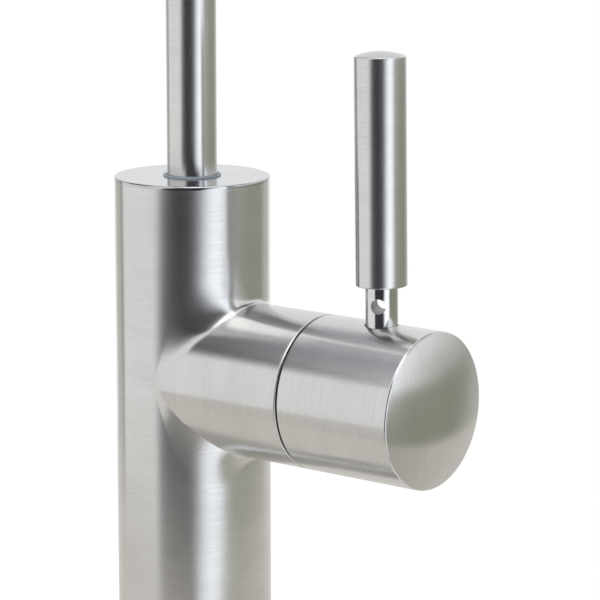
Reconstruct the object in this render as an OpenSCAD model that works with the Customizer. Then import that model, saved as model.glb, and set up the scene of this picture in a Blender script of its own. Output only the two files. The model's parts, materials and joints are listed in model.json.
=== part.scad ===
// Drinking-water dispenser faucet: a round brushed body, a welded side branch with a
// quarter-turn ceramic valve, a lever on a turning hub, and a swivelling gooseneck spout.
// Z is up, the worktop's surface is at Z = 0, the spout points to -Y and the branch to +X.

/* [Body] */
// Outside diameter of the body
body_d = 29.5; // [29.2:0.1:34]
// Height of the body's flat top above the worktop
body_top = 116; // [112:1:140]
// Softened edge round the body's top
body_edge = 0.35; // [0.2:0.05:0.8]
// Depth of the solid valve block, from the body's top down
block_len = 60; // [58:1:66]
// Bore of the hollow foot under the block
foot_bore_d = 22; // [20:0.5:24]

/* [Base ring] */
// Outside diameter of the base ring
ring_d = 38; // [37:0.5:50]
// Height of the base ring
ring_t = 4; // [3.5:0.1:6]
// Depth of the recess that takes the body's foot
ring_seat = 1.5; // [1:0.1:1.8]
// Bevel round the base ring's top
ring_edge = 0.8; // [0.4:0.1:1.5]
// Outside diameter of the gasket under the ring
gasket_d = 35; // [33:0.5:35.5]
// Width of the gasket's section
gasket_w = 2.5; // [1.5:0.1:3]
// Thickness of the gasket
gasket_t = 1.5; // [1:0.1:1.7]

/* [Branch and weld] */
// Outside diameter of the branch and of the hub
branch_d = 29; // [27:0.1:29.1]
// Depth of the branch's axis below the body's top
branch_drop = 37.6; // [37:0.1:40]
// Length of the fixed branch from the body's axis to the seam
branch_len = 31.5; // [31:0.1:36]
// Radius of the dressed weld in the corner of body and branch, at the back
weld_r = 1.2; // [0.8:0.1:2]
// Radius of the weld at the front, where it is dressed more broadly
weld_front_r = 3; // [1:0.1:4]
// Open seam between the branch and the turning hub
seam_gap = 0.4; // [0.3:0.05:0.7]
// Bevel on both lips of the seam
seam_edge = 0.3; // [0.1:0.05:0.5]

/* [Hub] */
// Length of the hub's round side
hub_len = 24.7; // [23.5:0.1:30]
// Rise of the domed end over its rim
hub_dome = 2.6; // [1:0.1:5]
// Depth of the hub's recess over the glide ring
hub_recess = 2.4; // [2:0.1:3.5]

/* [Lever] */
// Diameter of the lever
lever_d = 9.5; // [8:0.1:12]
// Length of the lever's round side
lever_len = 41.5; // [30:0.5:80]
// Rise of the lever's domed top
lever_dome = 0.9; // [0.3:0.1:2]
// Bevel round the lever's foot
lever_edge = 0.2; // [0.1:0.05:1]
// Distance of the lever's axis from the hub's inner face
lever_inset = 13.2; // [10:0.1:15]
// Bare length of the stud between the hub's crown and the lever
lever_gap = 7.2; // [5:0.1:12]
// Lean of the lever towards the body, in degrees
lever_tilt = 0.9; // [0:0.1:2]
// Depth of the lever's threaded socket
lever_socket = 8; // [5:0.5:12]
// Diameter of the stud that carries the lever
stud_d = 6; // [5:0.1:7]
// Diameter of the tightening hole across the stud
stud_hole_d = 2.8; // [2:0.1:3.2]
// Height of the tightening hole above the hub's crown
stud_hole_up = 3.7; // [2.5:0.1:4]
// Turn of the tightening hole from the front, in degrees
stud_hole_turn = 24; // [0:1:90]

/* [Spout] */
// Outside diameter of the spout tube
tube_d = 9.5; // [8.5:0.1:10]
// Wall of the spout tube
tube_wall = 1; // [0.7:0.05:1.3]
// Straight rise of the spout above the body's top
rise_len = 116; // [80:1:160]
// Bend radius of the gooseneck, to the tube's axis
bend_r = 56; // [40:1:80]
// Straight drop of the tube after the bend
drop_len = 22; // [15:1:50]
// Length of the spigot below the tube's end
spigot_len = 18.5; // [17:0.1:20]
// Length of the spigot's plug inside the tube
plug_len = 8; // [5:0.5:12]
// Bore of the spigot
spigot_bore_d = 4.6; // [3:0.1:5]
// Wall of the bush in the body's top
bush_wall = 0.65; // [0.5:0.05:1]
// Length of the bush
bush_len = 5.3; // [4:0.1:5.9]
// Height of the bush's rim above the body's top
bush_proud = 0.3; // [0.1:0.05:0.6]
// Diameter of the grub screw that keeps the spout in
grub_d = 4; // [3:0.5:5]
// Depth of the grub screw's axis below the body's top
grub_drop = 9.6; // [9.2:0.1:10.5]

/* [Nozzle] */
// Outside diameter of the nozzle
nozzle_d = 13; // [12.6:0.1:16]
// Length of the nozzle
nozzle_len = 20; // [18:0.5:30]
// Overlap of the nozzle on the tube
nozzle_lap = 8; // [5:0.5:10]
// Bore of the nozzle below the tube
nozzle_bore_d = 10.8; // [10.4:0.1:11.2]
// Thickness of the flow straightener
straightener_t = 5; // [3:0.5:6]
// Width across the flats of a flow cell
cell_w = 1.3; // [1:0.1:1.4]
// Wall between flow cells
cell_wall = 0.35; // [0.3:0.05:0.5]
// Thickness of the nozzle washer
nozzle_washer_t = 1.2; // [0.8:0.1:1.5]
// Opening of the nozzle's retaining ring
nozzle_ring_bore_d = 9; // [8.6:0.1:9.2]

/* [Valve] */
// Bore of the branch for the valve cartridge
cart_bore_d = 20; // [19.6:0.1:20.6]
// Distance of the cartridge's seat from the body's axis
seat_x = 5; // [5:0.1:6]
// Diameter of the ceramic discs
disc_d = 15; // [14:0.1:15.4]
// Thickness of each ceramic disc
disc_t = 2.5; // [2:0.1:2.8]
// Thickness of the rubber seat seal
seal_t = 2; // [1.5:0.1:2.5]
// Width of the port openings, as an angle in the disc
port_angle = 72; // [50:1:80]
// Wall of the cartridge round its discs
shell_wall = 0.85; // [0.7:0.05:1]
// Length of the cartridge's sealing land
land_len = 6; // [5:0.1:6.5]
// Length of the cartridge's neck
neck_len = 6.8; // [6:0.1:7.2]
// Diameter of the cartridge's neck
neck_d = 13.2; // [12:0.1:14]
// Diameter of the stem's sealed shaft
stem_d = 8.4; // [8:0.1:9]
// Diameter of the stem's splined end
spline_d = 8; // [7:0.1:8]
// Length of the threaded retainer round the neck
retainer_len = 7; // [6:0.1:7.2]
// Section of the O-rings on the stem and on the cartridge
o_ring_w = 1.6; // [1.4:0.1:1.8]
// Bore of the water passages in the block
passage_d = 4.8; // [3:0.1:5]

/* [Shank and fixings] */
// Diameter of the threaded shank
shank_d = 14; // [12:0.5:16]
// Bore of the shank
shank_bore_d = 8; // [7.8:0.1:9]
// Length of the shank below the worktop's surface
shank_len = 65; // [55:1:90]
// Height of the shank's head in the body's foot
shank_head = 6; // [4:0.5:10]
// Thickness of the worktop that the fixings clamp
deck_t = 30; // [10:1:38]
// Outside diameter of the rubber washer
pad_d = 32; // [28:1:40]
// Thickness of the rubber washer
pad_t = 3; // [2:0.5:5]
// Outside diameter of the steel washer
washer_d = 30; // [28:1:38]
// Thickness of the steel washer
washer_t = 1.5; // [1:0.1:3]
// Width of the nut across its flats
nut_w = 22; // [20:1:27]
// Thickness of the nut
nut_t = 8; // [5:0.5:10]
// Outside diameter of the water inlet pipe
pipe_d = 6.35; // [6:0.05:6.4]
// Wall of the water inlet pipe
pipe_wall = 0.8; // [0.5:0.05:1]
// Length of the inlet pipe below the shank
pipe_tail = 30; // [24:1:80]
// Plain length of pipe below its stop bead
pipe_plug = 22; // [15:1:23]

/* [Hidden] */

// clearances, on the radius or along an axis
run_gap = 0.05;    // turning fit of a round piece in its bore
fit_gap = 0.03;    // fixed fit of one piece in another
seal_gap = 0.02;   // a seal short of the wall that it slides on
face_gap = 0.1;    // faces that turn past each other
shank_gap = 0.3;   // loose hole round the shank
overrun = 1;       // how far a cut runs past the face that it opens
round_fn = 96;     // facets of a large round
small_fn = 48;     // facets of a small round

// the body, its foot and the base ring
body_r = body_d / 2;
foot_bore_r = foot_bore_d / 2;
foot_z = ring_t - ring_seat;
block_z = body_top - block_len;
shank_r = shank_d / 2;
shank_hole_r = shank_r + shank_gap;
gasket_r = gasket_d / 2;

// the branch's stations, as distances from the body's axis
branch_r = branch_d / 2;
branch_z = body_top - branch_drop;
cart_r = cart_bore_d / 2;
disc_r = disc_d / 2;
disc_x = seat_x + seal_t;
moving_x = disc_x + disc_t;
driver_gap = 1.2;      // water space between the moving disc and the driver
driver_t = 1.7;        // thickness of the stem's driver flange
driver_x = moving_x + disc_t + driver_gap;
shoulder_x = driver_x + driver_t + face_gap;
shoulder_t = 2;        // end wall of the disc chamber
land_x = shoulder_x + shoulder_t;
neck_x = land_x + land_len;
neck_end_x = neck_x + neck_len;
skirt = 0.5;           // how far the cartridge's shell laps the seat seal
shell_r = disc_r + face_gap + shell_wall;
land_r = cart_r - fit_gap;
chamber_r = disc_r + face_gap;
neck_r = neck_d / 2;
stem_r = stem_d / 2;
spline_r = spline_d / 2;
stem_bore_r = stem_r + run_gap;
seal_lip = 1.6;        // land of the seat round the inlet passage
seal_bore_r = passage_d / 2 + seal_lip;

// the hub and its glide ring
hub_x = branch_len + seam_gap;
hub_end_x = hub_x + hub_len;
hub_edge = 0.35;       // bevel between the hub's side and its dome
glide_wall = 1.95;     // wall of the glide ring
glide_cover = 2.1;     // metal of branch and hub round the glide ring
glide_seat = 1.6;      // depth of the glide ring's seat in the branch
glide_r = branch_r - glide_cover;
stem_past = 1.6;       // stem beyond the stud that clamps it
bore_past = 0.5;       // hub bore beyond the stem's end
stud_r = stud_d / 2;
stem_end_x = hub_x + lever_inset + stud_r + stem_past;

// the lever and its stud, as heights above the hub's axis
lever_r = lever_d / 2;
stud_hole_r = stud_hole_d / 2;
stud_groove = 0.15;    // narrow open ring round the stud where it enters the hub
stud_groove_depth = 1; // depth of that ring
flat_share = 0.8;      // height of the stem's flat as a share of the spline's radius
stud_foot = spline_r * flat_share;
lever_foot = branch_r + lever_gap;
lever_rim = lever_foot + lever_len;

// the spout, as radii and heights
tube_r = tube_d / 2;
tube_bore_r = tube_r - tube_wall;
bush_r = tube_r + run_gap + bush_wall;
spout_bore_r = tube_r + run_gap;
bush_past = 0.6;       // tube below the bush
spigot_past = 1.8;     // water space below the spigot
tube_foot_z = body_top + bush_proud - bush_len - bush_past;
spigot_foot_z = tube_foot_z - spigot_len;
bore_floor_z = spigot_foot_z - spigot_past;
bend_z = body_top + rise_len;
tube_end_z = bend_z - drop_len;
reach = 2 * bend_r;
keep_groove_w = 2.8;   // width of the spigot's groove for the grub screw
keep_groove_d = 1;     // depth of that groove
grub_tip_share = 0.5;  // tip diameter of the grub screw as a share of its thread
grub_tip_len = 1.6;    // length of the tip
grub_sink = 0.8;       // grub screw below the body's surface
grub_reach = 0.55;     // how far the tip enters the groove
socket_share = 0.5;    // hexagon socket as a share of the screw's diameter
socket_depth = 2.2;    // depth of the hexagon socket
grub_r = grub_d / 2;
grub_z = body_top - grub_drop;
o_groove_d = 1.35;     // depth of an O-ring groove
o_groove_side = 0.15;  // side room of an O-ring in its groove

// the nozzle
nozzle_r = nozzle_d / 2;
nozzle_bore_r = nozzle_bore_d / 2;
nozzle_top_z = tube_end_z + nozzle_lap;
nozzle_end_z = nozzle_top_z - nozzle_len;
nozzle_edge = 0.7;     // bevel round the nozzle's ends
nozzle_ring_up = 0.4;  // nozzle ring above the nozzle's end
cell_rings = 2;        // rings of flow cells round the middle one
washer_lip = 0.4;      // how far the nozzle washer covers the tube's bore edge

// the fixings below the worktop
pad_z = -deck_t - pad_t;
washer_z = pad_z - washer_t;
nut_z = washer_z - nut_t;
pipe_r = pipe_d / 2;
pipe_seat = 8;         // depth of the pipe's socket in the block
pipe_end_z = -shank_len - pipe_tail;
bead_h = 1.4;          // height of the pipe's stop bead
bead_out = 0.6;        // how far the bead stands out
pipe_edge = 0.3;       // bevel round the pipe's end
nut_edge_share = 0.12; // bevel of the nut's corners as a share of its width

steel = "silver";
polished = "gainsboro";
brass = "goldenrod";
rubber = "dimgray";
plastic = "slategray";
ceramic = "ivory";

// plain round solid from height z0 to z1
module rod(r, z0, z1, fn = round_fn) {
    translate([0, 0, z0]) cylinder(r = r, h = z1 - z0, $fn = fn);
}

// round tube from height z0 to z1
module pipe(r_in, r_out, z0, z1, fn = round_fn) {
    difference() {
        rod(r_out, z0, z1, fn);
        rod(r_in, z0 - overrun, z1 + overrun, fn);
    }
}

// round solid with a bevel of size b0 at its foot and b1 at its head
module bevelled(r, z0, z1, b0 = 0, b1 = 0, fn = round_fn) {
    foot = b0 > 0 ? [[r - b0, z0], [r, z0 + b0]] : [[r, z0]];
    head = b1 > 0 ? [[r, z1 - b1], [r - b1, z1]] : [[r, z1]];
    rotate_extrude($fn = fn) polygon(concat([[0, z0]], foot, head, [[0, z1]]));
}

// spherical cap of rise h over a rim of radius r at height z
module cap(r, h, z) {
    ball_r = (r * r + h * h) / (2 * h);
    intersection() {
        rod(r, z, z + h);
        translate([0, 0, z + h - ball_r]) sphere(r = ball_r, $fn = 2 * round_fn);
    }
}

// local Z along the branch's axis, counted from the body's axis
module along_branch() {
    translate([0, 0, branch_z]) rotate([0, 90, 0]) children();
}

// local Z up the lever's axis, counted from the hub's axis
module along_lever() {
    translate([hub_x + lever_inset, 0, branch_z]) rotate([0, -lever_tilt, 0]) children();
}

// drilled passage between two points
module drilling(from, to, r) {
    run = to - from;
    translate(from)
        rotate([0, acos(run.z / norm(run)), atan2(run.y, run.x)])
            cylinder(r = r, h = norm(run), $fn = small_fn);
}

// Dressed weld: the fillet that a ball leaves when it rolls round the corner and touches both
// cylinders. The ball grows on its way to the front, and it is a trifle too large everywhere,
// so that the weld's edges sink into the metal. t turns round the branch's axis.
weld_turns = 60;
weld_steps = 5;
weld_root = 1;         // how far the weld's root lies inside the metal
weld_bite = 0.04;      // how far its edges sink into the metal
weld_growth_share = 0.9; // part of the front half over which the ball grows
function eased(x) = x * x * (3 - 2 * x);
function ball_r(t) =
    weld_r + (weld_front_r - weld_r) * eased(min(1, max(0, -cos(t) / weld_growth_share)));
function ball_at(t, w) =
    let (y = (branch_r + w) * cos(t))
    [sqrt(pow(body_r + w, 2) - y * y), y, (branch_r + w) * sin(t)];
function touch_body(c, w) =
    let (share = (body_r - weld_bite) / (body_r + w)) [c.x * share, c.y * share, c.z];
function touch_branch(c, w) =
    let (share = (branch_r - weld_bite) / (branch_r + w)) [c.x, c.y * share, c.z * share];
function arc_between(c, a, b, s) =
    let (u = a - c, v = b - c, turn = acos(u * v / (norm(u) * norm(v))))
    c + (sin((1 - s) * turn) * u + sin(s * turn) * v) / sin(turn);
function weld_section(t) =
    let (w = ball_r(t), c = ball_at(t, w), a = touch_body(c, w), b = touch_branch(c, w))
    let (y = (branch_r - weld_root) * cos(t))
    let (root = [sqrt(pow(body_r - weld_root, 2) - y * y), y, (branch_r - weld_root) * sin(t)])
    concat([root], [for (i = [0 : weld_steps]) arc_between(c, a, b, i / weld_steps)]);

module weld_fillet() {
    sides = weld_steps + 2;
    points = [for (k = [0 : weld_turns - 1]) each weld_section(360 * k / weld_turns)];
    faces = [
        for (k = [0 : weld_turns - 1], i = [0 : sides - 1])
            let (k1 = (k + 1) % weld_turns, i1 = (i + 1) % sides)
            let (a = k * sides + i, b = k * sides + i1, c = k1 * sides + i1, d = k1 * sides + i)
            each [[a, b, c], [a, c, d]]
    ];
    translate([0, 0, branch_z]) polyhedron(points = points, faces = faces, convexity = 4);
}

// Body: one turned bar with the branch welded on, bored for the shank, pipe, valve and spout
module body_shell() {
    color(steel) difference() {
        union() {
            bevelled(body_r, foot_z, body_top, 0, body_edge);
            along_branch() bevelled(branch_r, 0, branch_len, 0, seam_edge);
            weld_fillet();
        }
        rod(foot_bore_r, foot_z - overrun, block_z);
        rod(pipe_r + fit_gap, block_z - overrun, block_z + pipe_seat, small_fn);
        rod(passage_d / 2, block_z, branch_z + passage_d / 2, small_fn);
        along_branch() {
            rod(passage_d / 2, -passage_d / 2, seat_x + overrun, small_fn);
            rod(cart_r, seat_x, branch_len + overrun);
            rod(glide_r + fit_gap, branch_len - glide_seat, branch_len + overrun);
        }
        rod(spout_bore_r, bore_floor_z, body_top + overrun);
        rod(bush_r + fit_gap, tube_foot_z + bush_past, body_top + overrun);
        drilling([0, 0, bore_floor_z + spigot_past / 2],
                 [driver_x, 0, branch_z + shell_r], passage_d / 2);
        rear_of_body() rod(grub_r, 0, body_r + overrun, small_fn);
    }
}

// local Z points backwards out of the body at the grub screw's height
module rear_of_body() {
    translate([0, 0, grub_z]) rotate([-90, 0, 0]) children();
}

module base_ring() {
    color(steel) difference() {
        bevelled(ring_d / 2, 0, ring_t, 0, ring_edge);
        rod(body_r + fit_gap, foot_z, ring_t + overrun);
        rod(shank_hole_r, -overrun, ring_t);
        pipe(gasket_r - gasket_w - fit_gap, gasket_r + fit_gap, -overrun, gasket_t);
    }
}

module base_gasket() {
    color(rubber) pipe(gasket_r - gasket_w, gasket_r, 0, gasket_t);
}

// Shank: head in the body's foot, hollow for the inlet pipe
module threaded_shank() {
    end_edge = (shank_d - shank_bore_d) / 8;
    color(brass) difference() {
        union() {
            bevelled(shank_r, -shank_len, foot_z + shank_head, end_edge, 0);
            rod(foot_bore_r - fit_gap, foot_z, foot_z + shank_head);
        }
        rod(shank_bore_d / 2, -shank_len - overrun, foot_z + shank_head + overrun, small_fn);
    }
}

// Inlet pipe: from its socket in the block down through the shank, with a stop bead
module inlet_pipe() {
    bead_z = pipe_end_z + pipe_plug;
    bead = [
        [pipe_r - pipe_wall / 2, bead_z],
        [pipe_r, bead_z],
        [pipe_r + bead_out, bead_z + bead_h / 3],
        [pipe_r + bead_out, bead_z + 2 * bead_h / 3],
        [pipe_r, bead_z + bead_h],
        [pipe_r - pipe_wall / 2, bead_z + bead_h]
    ];
    color("peru") difference() {
        union() {
            bevelled(pipe_r, pipe_end_z, block_z + pipe_seat, pipe_edge, 0, small_fn);
            rotate_extrude($fn = small_fn) polygon(bead);
        }
        rod(pipe_r - pipe_wall, pipe_end_z - overrun, block_z + pipe_seat + overrun, small_fn);
    }
}

module deck_rubber_washer() {
    color(rubber) pipe(shank_hole_r, pad_d / 2, pad_z, pad_z + pad_t);
}

module deck_steel_washer() {
    color(polished) pipe(shank_hole_r, washer_d / 2, washer_z, washer_z + washer_t);
}

// Nut: a hexagon with its corners turned off at both faces
module mounting_nut() {
    corner_r = nut_w / 2 / cos(30);
    corner_edge = nut_w * nut_edge_share / 2;
    color(brass) difference() {
        intersection() {
            translate([0, 0, nut_z]) cylinder(r = corner_r, h = nut_t, $fn = 6);
            bevelled(corner_r, nut_z, nut_z + nut_t, corner_edge, corner_edge);
        }
        rod(shank_r + fit_gap, nut_z - overrun, nut_z + nut_t + overrun);
    }
}

module spout_bush() {
    color(plastic)
        pipe(tube_r + run_gap, bush_r, tube_foot_z + bush_past, body_top + bush_proud, small_fn);
}

// Grub screw: its tip runs in the spigot's groove and keeps the spout from lifting out
module spout_grub_screw() {
    tip_y = tube_r - grub_reach;
    head_y = body_r - grub_sink;
    tip_r = grub_r * grub_tip_share;
    color(rubber) rear_of_body() difference() {
        union() {
            rod(tip_r, tip_y, head_y, small_fn);
            bevelled(grub_r - fit_gap, tip_y + grub_tip_len, head_y, grub_r - tip_r - fit_gap, 0,
                     small_fn);
        }
        translate([0, 0, head_y - socket_depth])
            cylinder(r = grub_r * socket_share, h = socket_depth + overrun, $fn = 6);
    }
}

module seat_seal() {
    color(rubber) along_branch() pipe(seal_bore_r, disc_r - face_gap, seat_x, disc_x);
}

// wedge-shaped ports, one pair across the disc, centred on the local X axis
module ports(z0, z1) {
    inner_share = 0.3;
    outer_share = 0.78;
    half = port_angle / 2;
    edge = disc_r / cos(half);
    intersection() {
        pipe(disc_r * inner_share, disc_r * outer_share, z0, z1, small_fn);
        for (side = [0, 180])
            rotate(side) translate([0, 0, z0 - overrun]) linear_extrude(z1 - z0 + 2 * overrun)
                polygon([[0, 0], edge * [cos(half), -sin(half)], edge * [cos(half), sin(half)]]);
    }
}

module fixed_ceramic_disc() {
    color(ceramic) along_branch() difference() {
        rod(disc_r, disc_x, disc_x + disc_t);
        ports(disc_x - overrun, disc_x + disc_t + overrun);
    }
}

// drive dogs of the stem, in the rim of the moving disc
dog_w = 3;             // width of a dog
dog_depth = 1.5;       // how far a dog enters the disc's thickness
dog_share = 0.83;      // where a dog starts, as a share of the disc's radius
module dogs(w, r_in, r_out, z0, z1) {
    intersection() {
        pipe(r_in, r_out, z0, z1);
        translate([-r_out, -w / 2, z0]) cube([2 * r_out, w, z1 - z0]);
    }
}

module moving_ceramic_disc() {
    color(ceramic) along_branch() difference() {
        rod(disc_r - face_gap, moving_x, moving_x + disc_t);
        rotate(90) ports(moving_x - overrun, moving_x + disc_t + overrun);
        dogs(dog_w + 2 * face_gap, disc_r * dog_share - face_gap, disc_r + overrun,
             moving_x + disc_t - dog_depth - face_gap, moving_x + disc_t + overrun);
    }
}

// Cartridge shell: disc chamber with two side windows, sealing land and threaded neck
module cartridge_shell() {
    window_w = disc_d / 2;
    groove_z = land_x + (land_len - o_ring_w) / 2;
    color(brass) along_branch() difference() {
        union() {
            rod(shell_r, disc_x - skirt, land_x);
            rod(land_r, land_x, neck_x);
            rod(neck_r, neck_x, neck_end_x);
        }
        rod(chamber_r, disc_x - skirt - overrun, shoulder_x);
        rod(stem_bore_r, shoulder_x - overrun, neck_end_x + overrun, small_fn);
        pipe(land_r - o_groove_d, land_r + overrun, groove_z - o_groove_side,
             groove_z + o_ring_w + o_groove_side);
        translate([-shell_r - overrun, -window_w / 2, moving_x + disc_t])
            cube([2 * (shell_r + overrun), window_w, driver_gap + driver_t]);
    }
}

module cartridge_o_ring() {
    groove_z = land_x + (land_len - o_ring_w) / 2;
    color(rubber) along_branch()
        pipe(land_r - o_groove_d, land_r, groove_z, groove_z + o_ring_w);
}

// Retainer: threaded ring with two key slots that holds the cartridge down
module cartridge_retainer() {
    slot_w = 3;
    slot_depth = 1.6;
    end_x = neck_x + retainer_len;
    color(brass) along_branch() difference() {
        pipe(neck_r + fit_gap, land_r, neck_x, end_x);
        translate([-cart_r, -slot_w / 2, end_x - slot_depth])
            cube([2 * cart_r, slot_w, slot_depth + overrun]);
    }
}

module glide_ring() {
    color(plastic) along_branch()
        pipe(glide_r - glide_wall, glide_r, branch_len - glide_seat, hub_x + hub_recess - face_gap);
}

// Stem: driver flange with two dogs, sealed shaft with two grooves, splined end with a flat
stem_groove_share = 0.32;
spline_teeth = 20;
spline_depth = 0.35;   // depth of the spline's teeth
clip_t = 0.8;          // thickness of the stem clip
clip_wall = 1.6;       // width of the stem clip
clip_depth = 0.55;     // depth of its groove
clip_x = neck_end_x + face_gap;
spline_x = clip_x + clip_t + driver_gap;
function stem_groove_x(i) =
    shoulder_x + (neck_end_x - shoulder_x) * (i + 1) * stem_groove_share - o_ring_w / 2;

module valve_stem() {
    color(brass) difference() {
        along_branch() difference() {
            union() {
                rod(stem_r - driver_gap, moving_x + disc_t, driver_x, small_fn);
                rod(disc_r - 3 * face_gap, driver_x, driver_x + driver_t);
                dogs(dog_w, disc_r * dog_share, disc_r - 3 * face_gap,
                     moving_x + disc_t - dog_depth, driver_x);
                rod(stem_r, driver_x, spline_x, small_fn);
                translate([0, 0, spline_x]) linear_extrude(stem_end_x - spline_x) polygon([
                    for (k = [0 : 2 * spline_teeth - 1])
                        (spline_r - (k % 2) * spline_depth)
                        * [cos(180 * k / spline_teeth), sin(180 * k / spline_teeth)]
                ]);
            }
            for (i = [0, 1])
                pipe(stem_r - o_groove_d, stem_r + overrun, stem_groove_x(i) - o_groove_side,
                     stem_groove_x(i) + o_ring_w + o_groove_side, small_fn);
            pipe(stem_r - clip_depth, stem_r + overrun, clip_x, clip_x + clip_t, small_fn);
        }
        along_lever() translate([-stud_r - stem_past / 2, -spline_d, stud_foot])
            cube([stud_d + stem_past, 2 * spline_d, spline_d]);
    }
}

module stem_o_rings() {
    color(rubber) along_branch() for (i = [0, 1])
        pipe(stem_r - o_groove_d, stem_bore_r - seal_gap, stem_groove_x(i),
             stem_groove_x(i) + o_ring_w, small_fn);
}

// Clip: an open ring in the stem's last groove
module stem_clip() {
    mouth_share = 1.2;
    r_in = stem_r - clip_depth;
    color(polished) along_branch() difference() {
        pipe(r_in, r_in + clip_wall, clip_x, clip_x + clip_t, small_fn);
        translate([0, -r_in * mouth_share / 2, clip_x - overrun])
            cube([r_in + clip_wall + overrun, r_in * mouth_share, clip_t + 2 * overrun]);
    }
}

// Hub: turned cap with a domed end, bored for the stem and cross-drilled for the stud
module hub() {
    color(steel) difference() {
        along_branch() difference() {
            union() {
                bevelled(branch_r, hub_x, hub_end_x, seam_edge, hub_edge);
                cap(branch_r - hub_edge, hub_dome, hub_end_x);
            }
            rod(glide_r + run_gap, hub_x - overrun, hub_x + hub_recess);
            rod(spline_r + fit_gap, hub_x, stem_end_x + bore_past, small_fn);
            rod(stem_r + 2 * run_gap, hub_x, spline_x + driver_gap, small_fn);
        }
        along_lever() {
            rod(stud_r + fit_gap, 0, branch_r + overrun, small_fn);
            rod(stud_r + stud_groove, branch_r - stud_groove_depth, branch_r + overrun, small_fn);
        }
    }
}

// Stud: screwed through the hub onto the stem's flat, with a cross hole to tighten it
module lever_stud() {
    color(polished) along_lever() difference() {
        rod(stud_r, stud_foot, lever_foot + lever_socket - face_gap, small_fn);
        translate([0, 0, branch_r + stud_hole_up]) rotate([90, 0, stud_hole_turn])
            translate([0, 0, -stud_d]) cylinder(r = stud_hole_r, h = 2 * stud_d, $fn = small_fn);
    }
}

module lever() {
    color(steel) along_lever() difference() {
        union() {
            bevelled(lever_r, lever_foot, lever_rim, lever_edge, 0);
            cap(lever_r, lever_dome, lever_rim);
        }
        rod(stud_r + fit_gap, lever_foot - overrun, lever_foot + lever_socket, small_fn);
    }
}

// round bar of radius r along the gooseneck's axis: riser, half-circle bend and drop
module gooseneck(r, past = 0) {
    rod(r, tube_foot_z - past, bend_z);
    translate([0, -bend_r, bend_z]) rotate([90, 0, 90])
        rotate_extrude(angle = 180, $fn = 2 * round_fn) translate([bend_r, 0]) circle(r, $fn = round_fn);
    translate([0, -reach, 0]) rod(r, tube_end_z - past, bend_z);
}

module spout_tube() {
    color(steel) difference() {
        gooseneck(tube_r);
        gooseneck(tube_bore_r, overrun);
    }
}

// Spigot: brazed into the tube's foot, with two O-rings and the groove for the grub screw
spigot_ring_share = [0.42, 0.72];
function spigot_ring_z(i) = tube_foot_z - spigot_len * spigot_ring_share[i];

module spout_spigot() {
    color(brass) difference() {
        union() {
            rod(tube_r, spigot_foot_z, tube_foot_z, small_fn);
            rod(tube_bore_r - fit_gap, tube_foot_z, tube_foot_z + plug_len, small_fn);
        }
        rod(spigot_bore_d / 2, spigot_foot_z - overrun, tube_foot_z + plug_len + overrun, small_fn);
        pipe(tube_r - keep_groove_d, tube_r + overrun, grub_z - keep_groove_w / 2,
             grub_z + keep_groove_w / 2, small_fn);
        for (i = [0, 1])
            pipe(tube_r - o_groove_d, tube_r + overrun, spigot_ring_z(i) - o_ring_w - o_groove_side,
                 spigot_ring_z(i) + o_groove_side, small_fn);
    }
}

module spout_o_rings() {
    color(rubber) for (i = [0, 1])
        pipe(tube_r - o_groove_d, spout_bore_r - seal_gap, spigot_ring_z(i) - o_ring_w,
             spigot_ring_z(i), small_fn);
}

// local origin on the axis of the spout's drop
module at_nozzle() {
    translate([0, -reach, 0]) children();
}

module nozzle_shell() {
    color(steel) at_nozzle() difference() {
        bevelled(nozzle_r, nozzle_end_z, nozzle_top_z, nozzle_edge / 2, nozzle_edge);
        rod(tube_r + fit_gap, tube_end_z - overrun, nozzle_top_z + overrun);
        rod(nozzle_bore_r, nozzle_end_z - overrun, tube_end_z);
    }
}

module nozzle_washer() {
    color(rubber) at_nozzle()
        pipe(tube_bore_r - washer_lip, nozzle_bore_r - fit_gap, tube_end_z - nozzle_washer_t, tube_end_z);
}

// Flow straightener: a disc pierced by a honeycomb of hexagonal cells
straightener_z = tube_end_z - nozzle_washer_t - straightener_t;
module flow_straightener() {
    pitch = cell_w + cell_wall;
    color("white") at_nozzle() difference() {
        rod(nozzle_bore_r - fit_gap, straightener_z, straightener_z + straightener_t);
        for (row = [-cell_rings : cell_rings], k = [0 : 2 * cell_rings - abs(row)])
            translate([
                row * pitch * sin(60),
                (k - cell_rings + abs(row) / 2) * pitch,
                straightener_z - overrun
            ])
                cylinder(r = cell_w / 2 / cos(30), h = straightener_t + 2 * overrun, $fn = 6);
    }
}

// Nozzle ring: screwed in below the straightener
module nozzle_ring() {
    color(polished) at_nozzle()
        pipe(nozzle_ring_bore_d / 2, nozzle_bore_r - fit_gap, nozzle_end_z + nozzle_ring_up,
             straightener_z);
}

body_shell();
base_ring();
base_gasket();
threaded_shank();
inlet_pipe();
deck_rubber_washer();
deck_steel_washer();
mounting_nut();
spout_bush();
spout_grub_screw();
seat_seal();
cartridge_shell();
cartridge_o_ring();
fixed_ceramic_disc();
cartridge_retainer();
glide_ring();
moving_ceramic_disc();
valve_stem();
stem_o_rings();
stem_clip();
hub();
lever_stud();
lever();
spout_tube();
spout_spigot();
spout_o_rings();
nozzle_shell();
nozzle_washer();
flow_straightener();
nozzle_ring();
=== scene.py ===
# %% [markdown]
# # A drinking-water faucet in brushed steel
# The CAD model gives every piece its real size and place. This lesson gives the pieces their
# looks: surfaces worked out from formulas, brushed, polished and rubber finishes, and a small
# studio. Each piece is worked out in millimetres, as on a drawing, and its mesh is in metres.

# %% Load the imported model
import json
import math

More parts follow.
